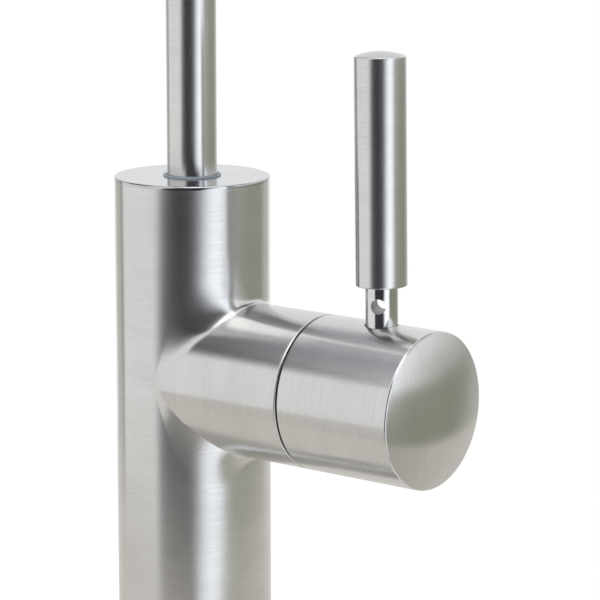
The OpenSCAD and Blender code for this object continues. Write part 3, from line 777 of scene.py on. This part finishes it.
# %% The body's side, open where the branch joins
GRUB_Z = 106.4
GRUB_R = 2.0
GRUB_FLOOR = 6.0
GRUB_WINDOW = (math.radians(9.6), 2.7)
LEFT_STEPS = 65
RIGHT_STEPS = (1, 16, 49)
UP_STEPS = (8, 16, 4)
DOWN_STEPS = 14

side_low = body_foot
side_high = body_top - 2 * BODY_EDGE
rear = math.pi / 2
left_columns = np.linspace(-math.pi, -widest, LEFT_STEPS + 1)
branch_columns = hole_angle(half_turn)[::-1]
right_side = windowed(widest, (rear - GRUB_WINDOW[0], rear + GRUB_WINDOW[0]), math.pi, RIGHT_STEPS)
all_columns = np.concatenate([left_columns, branch_columns[1:], right_side[0][1:]])
window_shares = (GRUB_Z + np.array([-1, 1]) * GRUB_WINDOW[1] - branch_z) / (side_high - branch_z)
up_shares, grub_rows = windowed(0, window_shares, 1, UP_STEPS)
down_shares = np.linspace(0, 1, DOWN_STEPS + 1)


def side_grid(columns, edge, shares, end):
    """Part of the body's side: each column runs from the height edge to the height end."""
    z = edge + (end - edge) * shares[:, None]
    return patch(round_points(body_r, columns, z), stacked(body_r * columns, z))


def side_patches():
    """The body's side: left, round the branch's hole, and right with the grub screw's hole."""
    rise, fall = [s * (branch_r * np.sin(s * half_turn) + reach_up(s * half_turn))[::-1]
                  for s in (1, -1)]
    heights = branch_z + (side_high - branch_z) * up_shares
    wall, mouth = pierced_wall(body_r, right_side, (heights, grub_rows), (rear, GRUB_Z), GRUB_R,
                               0.0, UPRIGHT)
    floor = mouth * [1, 0, 1] + [0, GRUB_FLOOR, 0]
    centre = 0 * mouth + [0, GRUB_FLOOR, GRUB_Z]
    tunnel = np.stack([mouth, floor, centre])
    return wall + [
        side_grid(left_columns, branch_z, up_shares, side_high),
        side_grid(left_columns, branch_z, down_shares, side_low),
        side_grid(branch_columns, branch_z + rise, up_shares, side_high),
        side_grid(branch_columns, branch_z - fall, down_shares, side_low),
        side_grid(right_side[0], branch_z, down_shares, side_low),
        patch(tunnel, tunnel[..., [0, 2]], 1)]


print(f"the body has {len(all_columns)} columns, {len(branch_columns)} of them at the branch")

# %% [markdown]
# ## Weld and branch
# The front of the weld is ground off broadly, up and down the body, and that is what bends the
# stripes there. A bevel would have one width all round. Here each section is a parabola that
# leaves the body upright and meets the branch, and its two ends may lie where they need to.

# %% The weld, the branch and the bores
GLIDE_SEAT = (12.43, 1.6)
VALVE_BORE = (10.0, 5.0)
FOOT_BORE = (11.0, 56.0)
BUSH_SEAT = (5.48, 111.0)
SPOUT_BORE = (4.8, 90.1)
TOP_RING = 1.0
BRANCH_STEPS = 23


def weld_patch():
    """Parabolas (1-s)^2 A + 2s(1-s) Q + s^2 B from A up the body to B along the branch. Q is the
    corner, moved away from the branch at the front, so that the weld meets it in a crease. It is
    brushed with the body, so its UV is the body's own: angle and height."""
    c = corner(full_turn)
    upward, along = np.array([0, 0, 1.0]), np.array([1.0, 0, 0])
    crease = np.where(c[:, 2] < 0, -WELD_CREASE_BELOW, WELD_CREASE)
    lift = (crease * reach_along(full_turn) * front(full_turn))[:, None]
    s = np.linspace(0, 1, WELD_STEPS + 1)[:, None, None]
    points = ((1 - s) ** 2 * (c + reach_up(full_turn)[:, None] * upward)
              + 2 * s * (1 - s) * (c + lift * upward)
              + s ** 2 * (c + reach_along(full_turn)[:, None] * along)) + [0, 0, branch_z]
    angle = np.arctan2(points[..., 1], points[..., 0])
    return patch(points, stacked(body_r * angle, points[..., 2]))


def branch_patches():
    """The branch from the weld to the seam, then its lip, the glide ring's seat and the bore."""
    start = corner(full_turn)[:, 0] + reach_along(full_turn)
    end = branch_end - 2 * SEAM_EDGE
    s = np.linspace(0, 1, BRANCH_STEPS + 1)[:, None]
    along = start + (end - start) * s
    side = place(round_points(branch_r, full_turn, along), SIDEWAYS)
    lip = profile((branch_r, end), (branch_r, branch_end, SEAM_EDGE), (GLIDE_SEAT[0], branch_end),
                  (GLIDE_SEAT[0], branch_end - GLIDE_SEAT[1]),
                  (VALVE_BORE[0], branch_end - GLIDE_SEAT[1]), VALVE_BORE, (0, VALVE_BORE[1]))
    return [patch(side, stacked(branch_r * full_turn, along)), turned(lip, SIDEWAYS, full_turn)]


def end_patches():
    """The body's faced top with the spout's bore, and its foot with the hollow for the shank."""
    flat_r = BUSH_SEAT[0] + TOP_RING
    rim = profile((body_r, side_high), (body_r, body_top, BODY_EDGE), (flat_r, body_top))
    top = profile((flat_r, body_top), (BUSH_SEAT[0], body_top), BUSH_SEAT,
                  (SPOUT_BORE[0], BUSH_SEAT[1]), SPOUT_BORE, (0, SPOUT_BORE[1]))
    foot = profile((body_r, side_low), (FOOT_BORE[0], side_low), FOOT_BORE, (0, FOOT_BORE[1]))
    return [turned(rim, UPRIGHT, all_columns, 1), turned(top, UPRIGHT, all_columns, 1),
            turned(foot, UPRIGHT, all_columns)]


# The top and the rim take the faced steel, whose darker, bluish colour is a painted reflection tone.
make_piece("body_with_branch", side_patches() + [weld_patch()] + branch_patches() + end_patches(),
           [BRUSHED, FACED_PAINTED_REFLECTION], "faucet_body", "body_shell")

# %% [markdown]
# ## Hub
# The hub is turned from bar, brushed round its side and straight across its shallow dome. The
# dome could be a part of an icosphere, but rings of one profile line up with the side's columns,
# so nothing shows where they meet.

# %% The hub
HUB_EDGE = 0.25
HUB_DOME = 2.6
HUB_RIM_R = 14.15
RECESS = (12.45, 2.4)
STEM_BORE = (4.03, 50.2)
STUD_HOLE_R = 3.15
STUD_WINDOW = (math.radians(20), 4.6)
STUD_HOLE_FLOOR = 4.8
DOME_STEPS = 25
HUB_ROUND = (27, 20, 107)
HUB_ALONG = (7, 20, 5)

hub_start = hub_low[0]
hub_apex = hub_high[0]
dome_r = (HUB_RIM_R ** 2 + HUB_DOME ** 2) / (2 * HUB_DOME)


def dome_height(r):
    """Height of the domed end over the body's axis: a sphere of radius dome_r."""
    return hub_apex - dome_r + np.sqrt(dome_r ** 2 - r ** 2)


def hub_patches():
    """Side with the stud's hole, rounded rim, dome with straight hairlines, and the inside."""
    up = math.pi / 2
    side = (hub_start + 2 * SEAM_EDGE, dome_height(branch_r) - 2 * HUB_EDGE)
    columns = windowed(0, (up - STUD_WINDOW[0], up + STUD_WINDOW[0]), TURN, HUB_ROUND)
    edges = (lever_x - STUD_WINDOW[1], lever_x + STUD_WINDOW[1])
    rows = windowed(side[0], edges, side[1], HUB_ALONG)
    wall, mouth = pierced_wall(branch_r, columns, rows, (up, lever_x), STUD_HOLE_R,
                               -math.tan(LEVER_TILT), SIDEWAYS)
    inner = (place(mouth, SIDEWAYS) - LEANING[3]) @ LEANING[:3].T
    foot = inner * [1, 1, 0] + [0, 0, STUD_HOLE_FLOOR]
    centre = inner * 0 + [0, 0, STUD_HOLE_FLOOR]
    well = place(np.stack([inner, foot, centre]), LEANING)
    rim_r = HUB_RIM_R - HUB_EDGE
    rim_rows = profile((branch_r, side[1]), (branch_r, dome_height(branch_r), HUB_EDGE),
                       (rim_r, dome_height(rim_r)))[:-1]
    dome = rim_rows[-1, 0] * np.linspace(1, 0, DOME_STEPS + 1)[:, None]
    dome_rows = np.hstack([dome, dome_height(dome)])
    dome_rows[0] = rim_rows[-1]
    inside = profile((branch_r, side[0]), (branch_r, hub_start, SEAM_EDGE),
                     (RECESS[0], hub_start), (RECESS[0], hub_start + RECESS[1]),
                     (STEM_BORE[0], hub_start + RECESS[1]), STEM_BORE, (0, STEM_BORE[1]))
    return wall + [patch(well, stacked(0, well[..., 2]), 1),
                   turned(rim_rows, SIDEWAYS, columns[0]),
                   turned(dome_rows, SIDEWAYS, columns[0], 0, True),
                   turned(inside, SIDEWAYS, columns[0])]


make_piece("brushed_hub", hub_patches(), [BRUSHED, POLISHED], "handle", "hub")

# %% [markdown]
# ## Stud
# The stud carries the lever on the hub, and a small bar through its cross hole tightens it. A
# hole right through would take a boolean, or a wall that is pierced on both sides. It is made as
# two half walls, each with one mouth, because one half turned round gives the other.

# %% The stud with its cross hole
STUD_R = 3.0
STUD_SPAN = (3.2, 29.6)
STUD_END_SHARE = 0.8
CROSS_HOLE = (1.4, 18.2)
CROSS_TURN = math.radians(-66)
CROSS_WINDOW = (math.radians(45), 2.3)
STUD_ROUND = (8, 16, 8)
STUD_ALONG = (4, 16, 4)


def stud_patches():
    """Two half walls, each with one mouth of the cross hole, the tunnel and both ends."""
    edges = (CROSS_HOLE[1] - CROSS_WINDOW[1], CROSS_HOLE[1] + CROSS_WINDOW[1])
    rows = windowed(STUD_SPAN[0], edges, STUD_SPAN[1], STUD_ALONG)
    quarter = math.pi / 2
    spread, window = windowed(-quarter, (-CROSS_WINDOW[0], CROSS_WINDOW[0]), quarter, STUD_ROUND)
    parts, mouths = [], []
    for turn in (CROSS_TURN, CROSS_TURN + math.pi):
        wall, mouth = pierced_wall(STUD_R, (turn + spread, window), rows, (turn, CROSS_HOLE[1]),
                                   CROSS_HOLE[0], 0.0, LEANING)
        parts += wall
        mouths.append(mouth)
        for end in STUD_SPAN:
            disc = np.array([[STUD_R, end], [STUD_R * STUD_END_SHARE, end], [0, end]])
            parts.append(turned(disc, LEANING, turn + spread))
    count = len(mouths[1]) - 1
    far = mouths[1][(count // 4 - np.arange(count + 1)) % count]
    tunnel = place(np.stack([mouths[0], (mouths[0] + far) / 2, far]), LEANING)
    return parts + [patch(tunnel, tunnel[..., [0, 2]], 1)]


# The cross hole's tunnel takes the dark drilled steel: painted shade inside the hole.
make_piece("polished_stud", stud_patches(), [POLISHED, BORE_STEEL_PAINTED_SHADE], "handle", "lever_stud")

# %% [markdown]
# ## Lever
# The lever is a plain bar with a socket for the stud. Its foot has a crisp edge and its top a low
# dome. A cylinder with one bevel would look cut off, so each end has its own part of the profile.

# %% The lever
LEVER_R = 4.75
LEVER_SPAN = (21.7, 63.2)
LEVER_EDGE = 0.18
LEVER_RIM = 0.12
LEVER_CAP = 0.9
SOCKET = (3.03, 29.7)
CAP_STEPS = 13


def lever_patches():
    """A round bar with a socket in its foot, a crisp rim and a shallow domed top."""
    ball = (LEVER_R ** 2 + LEVER_CAP ** 2) / (2 * LEVER_CAP)
    crown = LEVER_SPAN[1] + LEVER_CAP
    s = np.linspace(1, 0, CAP_STEPS + 1)[:, None] * (LEVER_R - 2 * LEVER_RIM)
    cap_rows = np.hstack([s, crown - ball + np.sqrt(ball ** 2 - s ** 2)])
    side = profile((0, SOCKET[1]), SOCKET, (SOCKET[0], LEVER_SPAN[0]),
                   (LEVER_R, LEVER_SPAN[0], LEVER_EDGE), (LEVER_R, LEVER_SPAN[1], LEVER_RIM),
                   tuple(cap_rows[0]))
    cap = np.vstack([side[-2:], cap_rows[1:]])
    return [turned(side[:-1], LEANING), turned(cap, LEANING, finish=1)]


# The cap takes the faced steel, whose darker, bluish colour is a painted reflection tone.
make_piece("brushed_lever", lever_patches(), [BRUSHED_BAR, FACED_PAINTED_REFLECTION], "handle", "lever")

# %% [markdown]
# ## Gooseneck spout
# The spout is a bent tube. A circle is carried along its path, up, round a half circle and down,
# outside and inside, and the two skins are joined at both ends. A bevelled curve would look the
# same from outside, but its mouth would show no wall.

# %% The tube
TUBE_FOOT = 110.4
TUBE_WALL = 1.0
BEND_R = reach / 2
BEND_Z = tube_high[2] - tube_r - BEND_R
TUBE_MOUTH = 210.0
RISE_STEPS = 29
BEND_STEPS = 95
DROP_STEPS = 7
TUBE_TURNS = 96


def spout_path():
    """Centres of the tube's sections and their outward directions, round the bend's angle."""
    turn = np.linspace(0, math.pi, BEND_STEPS + 1)
    rise = np.linspace(TUBE_FOOT, BEND_Z, RISE_STEPS + 1)[:-1]
    drop = np.linspace(BEND_Z, TUBE_MOUTH, DROP_STEPS + 1)[1:]
    angle = np.concatenate([0 * rise, turn, 0 * drop + math.pi])
    height = np.concatenate([rise, BEND_Z + BEND_R * np.sin(turn), drop])
    centre = stacked(0, BEND_R * np.cos(angle) - BEND_R, height)
    return centre, stacked(0, np.cos(angle), np.sin(angle))


def tube_patches():
    """Skin = centre + radius * (cos a X + sin a outward), for the outer and the inner radius."""
    centre, out = spout_path()
    a = np.linspace(SEAM, SEAM + TURN, TUBE_TURNS + 1)[None, :, None]
    ring = np.cos(a) * np.array([1.0, 0, 0]) + np.sin(a) * out[:, None]
    uv = stacked(tube_r * a[..., 0], lengths(centre)[:, None])
    outer = centre[:, None] + tube_r * ring
    inner = centre[:, None] + (tube_r - TUBE_WALL) * ring
    ends = [np.stack([outer[k], inner[k]]) for k in (0, -1)]
    return [patch(outer, uv), patch(inner, uv)] + [patch(e, uv[:2]) for e in ends]


make_piece("brushed_spout_tube", tube_patches(), [BRUSHED_BAR], "spout", "spout_tube")

# %% [markdown]
# ## Nozzle, bush and glide ring
# The nozzle at the spout's mouth, the bush in which the tube turns and the ring that centres the
# hub are all rings: a profile that closes on itself. A cylinder less a smaller one would do, but
# without the soft edges. One function makes a ring from its corners and another works out the
# four corners of a plain washer, so that each part is a few sizes in a line.

# %% Rings
SMALL_EDGE = 0.15


def ring_piece(name, corners, finish, body, node, axes=UPRIGHT):
    """Turned ring with a closed profile, in place of one CAD node."""
    rows = profile(*corners, closed=True)
    make_piece(name, [turned(rows, axes)], [finish], body, node)


def washer(node, bore, edge=SMALL_EDGE, along=2):
    """Rounded corners of a plain ring that fills a CAD ring from its bore outwards. along is the
    number of the coordinate that its axis follows."""
    low, high = box_mm(node)
    across = (along + 1) % 3
    outer = (high[across] - low[across]) / 2
    ends = low[along], high[along]
    return [(bore, ends[0], edge), (outer, ends[0], edge), (outer, ends[1], edge),
            (bore, ends[1], edge)]


# %% Nozzle, bush and glide ring
AT_NOZZLE = upright(0, -reach)
NOZZLE_BORE = 5.4
NOZZLE_SHOULDER = 0.7
NOZZLE_LIP = 0.35
TUBE_PLAY = 0.03
TUBE_HOLE_EDGE = 0.1
RING_BORE = 4.5
WASHER_BORE = 3.35
BUSH_PLAY = 0.05
BUSH_EDGE = 0.12
GLIDE_BORE = 10.45

nozzle_low, nozzle_high = box_mm("nozzle_shell")
nozzle_r = min(nozzle_high[0], -nozzle_low[1] - reach)
tube_hole = tube_r + TUBE_PLAY
ring_piece("brushed_nozzle", [
    (tube_hole, nozzle_high[2], TUBE_HOLE_EDGE), (nozzle_r, nozzle_high[2], NOZZLE_SHOULDER),
    (nozzle_r, nozzle_low[2], NOZZLE_LIP), (NOZZLE_BORE, nozzle_low[2], SMALL_EDGE),
    (NOZZLE_BORE, TUBE_MOUTH), (tube_hole, TUBE_MOUTH)],
    BRUSHED, "spout", "nozzle_shell", AT_NOZZLE)
ring_piece("polished_nozzle_ring", washer("nozzle_ring", RING_BORE), POLISHED, "spout",
           "nozzle_ring", AT_NOZZLE)
ring_piece("rubber_nozzle_washer", washer("nozzle_washer", WASHER_BORE), RUBBER, "spout",
           "nozzle_washer", AT_NOZZLE)
ring_piece("plastic_spout_bush", washer("spout_bush", tube_r + BUSH_PLAY, BUSH_EDGE), BLUE_GREY,
           "faucet_body", "spout_bush")
ring_piece("plastic_glide_ring", washer("glide_ring", GLIDE_BORE, along=0), BLUE_GREY,
           "faucet_body", "glide_ring", SIDEWAYS)

# %% [markdown]
# ## Foot and washers
# A cover ring hides the hole in the worktop, with a gasket under it, and two washers take the
# nut's pull from below. A stack of discs would do for the ring, but its groove and its seat are
# corners of one profile, as on the lathe.

# %% Base ring, gasket and washers
SHANK_HOLE = 7.3
FOOT_SEAT = (14.78, 2.5)
FOOT_SEAT_EDGE = 0.1
GASKET_SEAT = (14.97, 17.53, 1.5)
GASKET_BORE = 15.0
BASE_SHOULDER = 0.8
RUBBER_EDGE = 0.5
STEEL_EDGE = 0.25

base_low, base_high = box_mm("base_ring")
base_r = (base_high[0] - base_low[0]) / 2
groove_top = base_low[2] + GASKET_SEAT[2]
ring_piece("brushed_base_ring", [
    (SHANK_HOLE, base_low[2]), (GASKET_SEAT[0], base_low[2]), (GASKET_SEAT[0], groove_top),
    (GASKET_SEAT[1], groove_top), (GASKET_SEAT[1], base_low[2]), (base_r, base_low[2], SMALL_EDGE),
    (base_r, base_high[2], BASE_SHOULDER), (FOOT_SEAT[0], base_high[2], FOOT_SEAT_EDGE), FOOT_SEAT,
    (SHANK_HOLE, FOOT_SEAT[1])], BRUSHED, "faucet_body", "base_ring")
ring_piece("rubber_base_gasket", washer("base_gasket", GASKET_BORE), RUBBER, "faucet_body",
           "base_gasket")
ring_piece("rubber_deck_washer", washer("deck_rubber_washer", SHANK_HOLE, RUBBER_EDGE), RUBBER,
           "faucet_body", "deck_rubber_washer")
ring_piece("steel_deck_washer", washer("deck_steel_washer", SHANK_HOLE, STEEL_EDGE), POLISHED,
           "faucet_body", "deck_steel_washer")

# %% [markdown]
# ## Threaded shank
# The hollow shank holds the faucet in the worktop, and its thread takes the nut. A thread is a
# screw surface: its radius depends on the height less the pitch times the angle.
# On a grid of angle and height that is one line of numpy. A helix swept along a curve would also
# do, but its ends need care, and here the ridge simply fades out.

# %% The shank
SHANK_R = 7.0
SHANK_BORE = 4.0
SHANK_CHAMFER = 0.7
SHANK_HEAD = (10.97, 8.5)
PITCH = 1.5
THREAD_DEPTH = 0.62
THREAD_SPAN = (-64.2, -1.0)
THREAD_FADE = 2.0
THREAD_STEEPNESS = 1.25
THREAD_ROWS = 420
THREAD_TURNS = 48
THREAD_CRISP = 40


def ridge(phase):
    """Rounded saw of a V thread: 1 at the crest and 0 in the root."""
    tooth = 1 - np.abs(2 * (phase % 1) - 1)
    return smooth(0.5 + THREAD_STEEPNESS * (tooth - 0.5))


def shank_patches():
    """Thread: r = crest - depth * fade * (1 - ridge(z / pitch - a / turn)); then head and bore."""
    foot = box_mm("threaded_shank")[0][2]
    z = np.linspace(*THREAD_SPAN, THREAD_ROWS)[:, None]
    a = np.linspace(0, TURN, THREAD_TURNS + 1)
    fade = smooth((z - THREAD_SPAN[0]) / THREAD_FADE) * smooth((THREAD_SPAN[1] - z) / THREAD_FADE)
    radius = SHANK_R - THREAD_DEPTH * fade * (1 - ridge(z / PITCH - a / TURN))
    thread = patch(round_points(radius, a, z), stacked(SHANK_R * a, z))
    rest = profile((SHANK_R, THREAD_SPAN[1]), (SHANK_R, body_foot), (SHANK_HEAD[0], body_foot),
                   SHANK_HEAD, (SHANK_BORE, SHANK_HEAD[1]), (SHANK_BORE, foot),
                   (SHANK_R - SHANK_CHAMFER, foot), (SHANK_R, foot + SHANK_CHAMFER),
                   (SHANK_R, THREAD_SPAN[0]))
    return [thread, turned(rest, UPRIGHT, a)]


make_piece("brass_threaded_shank", shank_patches(), [BRASS], "faucet_body", "threaded_shank",
           THREAD_CRISP)

# %% [markdown]
# ## Nut
# The nut pulls the faucet down on the worktop. Its corners are turned off by a cone, which leaves
# the curved edges that every nut has.
# That takes a boolean with a cone, or simply the smaller of two radii at each point of a grid.

# %% The nut
NUT_BORE = 7.03
NUT_CORNER = 1.32
CORNER_STEPS = 8
FLAT_STEPS = 24
NUT_CRISP = 25
SIXTH = math.pi / 3


def nut_patches():
    """A hexagon whose corners are turned off: r = min(flat / cos(a from the flat), cone)."""
    low, high = box_mm("mounting_nut")
    flat = min(high[0] - low[0], high[1] - low[1]) / 2
    rise = np.append(np.linspace(0, NUT_CORNER, CORNER_STEPS + 1), (high[2] - low[2]) / 2)
    z = np.concatenate([low[2] + rise, high[2] - rise[-2::-1]])[:, None]
    a = np.linspace(0, TURN, 6 * FLAT_STEPS + 1)
    from_flat = (a + SIXTH / 2) % SIXTH - SIXTH / 2
    turned_on = 0 if high[0] - low[0] < high[1] - low[1] else SIXTH / 2
    cone = flat / math.cos(SIXTH / 2) - NUT_CORNER + np.minimum(z - low[2], high[2] - z)
    side = round_points(np.minimum(flat / np.cos(from_flat), cone), a + turned_on, z)
    bore = round_points(NUT_BORE, a + turned_on, np.array([[high[2]], [low[2]]]))
    local = np.concatenate([side, bore, side[:1]])
    return [patch(local, local[..., [0, 2]])]


make_piece("brass_mounting_nut", nut_patches(), [BRASS], "faucet_body", "mounting_nut",
           NUT_CRISP)

# %% [markdown]
# ## Inlet pipe
# The copper pipe brings the water up through the shank, and a bead near its end stops the
# coupling. A torus set on a tube would show a line, so pipe and bead are one profile.

# %% The inlet pipe
PIPE_R = 3.175
PIPE_WALL = 0.8
PIPE_EDGE = 0.25
BEAD_Z = -73.0
BEAD_LENGTH = 1.4
BEAD_SLOPE = 0.35
BEAD_FOOT = 0.2

pipe_low, pipe_high = box_mm("inlet_pipe")
bead_top = BEAD_Z + BEAD_LENGTH
ring_piece("copper_inlet_pipe", [
    (PIPE_R - PIPE_WALL, pipe_high[2]), (PIPE_R - PIPE_WALL, pipe_low[2]),
    (PIPE_R, pipe_low[2], PIPE_EDGE), (PIPE_R, BEAD_Z, BEAD_FOOT),
    (pipe_high[0], BEAD_Z + BEAD_SLOPE, SMALL_EDGE),
    (pipe_high[0], bead_top - BEAD_SLOPE, SMALL_EDGE), (PIPE_R, bead_top, BEAD_FOOT),
    (PIPE_R, pipe_high[2])], COPPER, "faucet_body", "inlet_pipe")

# %% [markdown]
# ## The pieces inside
# The valve's discs, stem, seals and clips already have their full shape in CAD. Their meshes are
# loose triangles, which shade as facets. A merged copy of each shades smoothly and keeps its
# true edges, and it takes the finish that the real piece has.

# %% Smooth copies of the inner pieces
INNER = {
    "spout_grub_screw": ("faucet_body", DARK_STEEL, "dark_steel"),
    "seat_seal": ("faucet_body", RUBBER, "black_rubber"),
    "cartridge_shell": ("faucet_body", BRASS, "brass"),
    "cartridge_o_ring": ("faucet_body", RUBBER, "black_rubber"),
    "fixed_ceramic_disc": ("faucet_body", CERAMIC, "ceramic"),
    "cartridge_retainer": ("faucet_body", BRASS, "brass"),
    "moving_ceramic_disc": ("handle", CERAMIC, "ceramic"),
    "valve_stem": ("handle", BRASS, "brass"),
    "stem_o_rings": ("handle", RUBBER, "black_rubber"),
    "stem_clip": ("handle", POLISHED, "polished_steel"),
    "spout_spigot": ("spout", BRASS, "brass"),
    "spout_o_rings": ("spout", RUBBER, "black_rubber"),
    "flow_straightener": ("spout", WHITE, "white_plastic"),
}


def smooth_copy(node, body, finish):
    """A copy of a CAD piece with its triangles joined and shaded smoothly between its edges."""
    mesh = frame["nodes"][node].data.copy()
    merge_points(mesh, False)
    mesh.materials.clear()
    mesh.materials.append(finish)
    finish_piece("finished_" + node, mesh, body, node)


for node, (carrier, finish, slot_name) in INNER.items():
    smooth_copy(node, carrier, finish)
print("inner pieces:", len(INNER))
